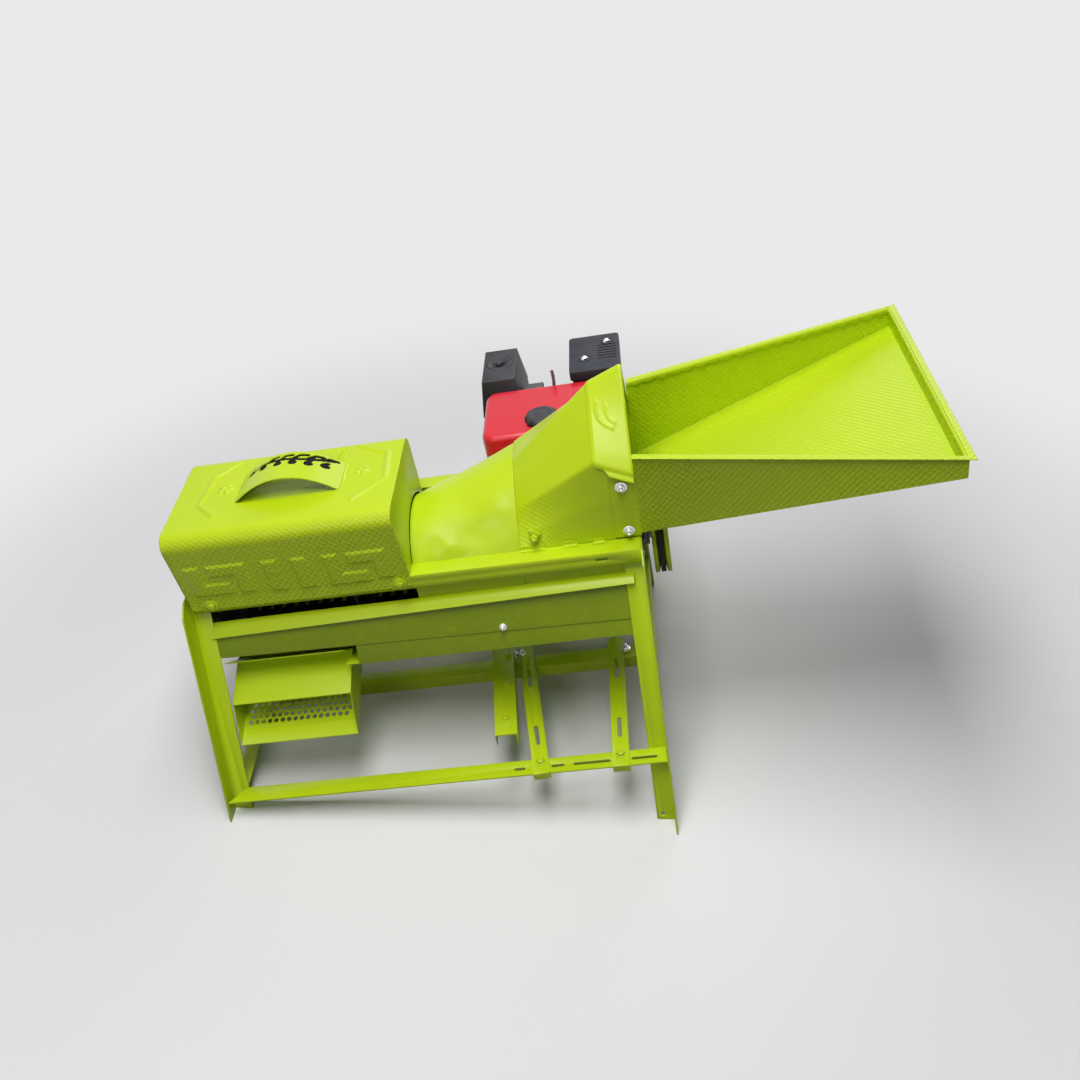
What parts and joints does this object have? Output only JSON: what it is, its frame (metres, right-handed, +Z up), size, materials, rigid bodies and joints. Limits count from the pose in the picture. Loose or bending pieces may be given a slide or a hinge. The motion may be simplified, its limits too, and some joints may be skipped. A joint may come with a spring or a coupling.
{
  "type": "corn threshing machine",
  "caption": "Corn thresher: sheet-metal drum with cob cover, feed hood and tray on a splayed angle-iron stand, driven by a small petrol engine through a belt.",
  "frame": {"origin": "on the ground, in the middle of the box round the whole machine", "axes": "+X from the cob end to the feed end, +Y from the front to the engine at the rear, +Z up"},
  "size_m": [1.363, 0.9024, 0.7883],
  "materials": {
    "green_paint": "gloss lime-green enamel",
    "red_paint": "gloss red enamel",
    "black_plastic": "fine-grained black moulding",
    "black_metal": "satin black heat-proof paint",
    "cast_alloy": "as cast",
    "steel": "bright zinc plated",
    "dark_steel": "bare worked steel",
    "rubber": "moulded V belt"
  },
  "bodies": {
    "frame": {"front_left_leg": "green_paint", "front_right_leg": "green_paint", "rear_left_leg": "green_paint", "rear_right_leg": "green_paint", "top_rail_front": "green_paint", "top_rail_rear": "green_paint", "top_rail_left": "green_paint", "top_rail_right": "green_paint", "bottom_rail_front": "green_paint", "bottom_rail_mid": "green_paint", "side_rail_left": "green_paint", "side_rail_right": "green_paint", "motor_bar_left": "green_paint", "motor_bar_right": "green_paint", "channel_bracket": "green_paint", "engine_rail_upper": "green_paint", "engine_rail_lower": "green_paint", "engine_bracket": "green_paint", "frame_bolts": "steel", "drum_casing": "green_paint", "concave_screen": "dark_steel", "bearing_left": "dark_steel", "bearing_right": "dark_steel", "cob_cover": "green_paint", "cover_handle": "green_paint", "cob_end_plate": "green_paint", "sheet_bolts": "green_paint", "feed_hood": "green_paint", "hopper_tray": "green_paint", "front_panel": "green_paint", "lower_panel": "green_paint", "kernel_pan": "green_paint", "outlet_chute": "green_paint", "screen_plate": "green_paint", "crankcase": "cast_alloy", "cylinder_block": "cast_alloy", "cylinder_head": "cast_alloy", "fan_shroud": "red_paint", "recoil_cover": "red_paint", "fuel_tank": "red_paint", "air_filter_base": "black_plastic", "air_filter_cover": "black_plastic", "carburettor": "cast_alloy", "muffler": "black_metal", "muffler_cover": "black_metal", "oil_plug": "black_plastic", "drive_belt": "rubber"},
    "drum": {"drum_rotor": "dark_steel", "beater_bars": "dark_steel", "rotor_shaft": "steel", "drum_pulley": "green_paint"},
    "crank": {"crankshaft": "steel", "engine_pulley": "dark_steel"},
    "cap": {"fuel_cap": "black_plastic"},
    "knob": {"filter_knob": "black_plastic"},
    "throttle": {"throttle_lever": "steel"},
    "choke": {"choke_lever": "steel"},
    "starter_grip": {"recoil_handle": "black_plastic"},
    "switch": {"engine_switch": "black_plastic"}
  },
  "joints": [
    {"name": "drum_spin", "type": "hinge", "parent": "frame", "child": "drum", "pos_m": [-0.23856, -0.08056, 0.38632], "axis": [0.9932, 0, 0.1166], "continuous": true},
    {"name": "crank_spin", "type": "hinge", "parent": "frame", "child": "crank", "pos_m": [0.19282, 0.24605, 0.36549], "axis": [0.9932, 0, 0.1166], "continuous": true},
    {"name": "cap_turn", "type": "hinge", "parent": "frame", "child": "cap", "pos_m": [-0.00561, 0.14422, 0.55589], "axis": [-0.1166, 0, 0.9932], "range_deg": [0, 90]},
    {"name": "knob_turn", "type": "hinge", "parent": "frame", "child": "knob", "pos_m": [-0.10365, 0.37818, 0.55621], "axis": [-0.1166, 0, 0.9932], "continuous": true},
    {"name": "throttle_turn", "type": "hinge", "parent": "frame", "child": "throttle", "pos_m": [0.01642, 0.28693, 0.52731], "axis": [0, 1, 0], "range_deg": [-24, 24]},
    {"name": "choke_turn", "type": "hinge", "parent": "frame", "child": "choke", "pos_m": [-0.0051, 0.33074, 0.49861], "axis": [0.9932, 0, 0.1166], "range_deg": [0, 70]},
    {"name": "starter_pull", "type": "slide", "parent": "frame", "child": "starter_grip", "axis": [-0.9932, 0, -0.1166], "range_m": [0, 0.25]},
    {"name": "switch_rock", "type": "hinge", "parent": "frame", "child": "switch", "pos_m": [-0.05577, 0.14424, 0.36044], "axis": [0.9932, 0, 0.1166], "range_deg": [0, 22]}
  ],
  "couplings": [
    {"joint": "crank_spin", "follows": "drum_spin", "ratio": 2.3529}
  ]
}
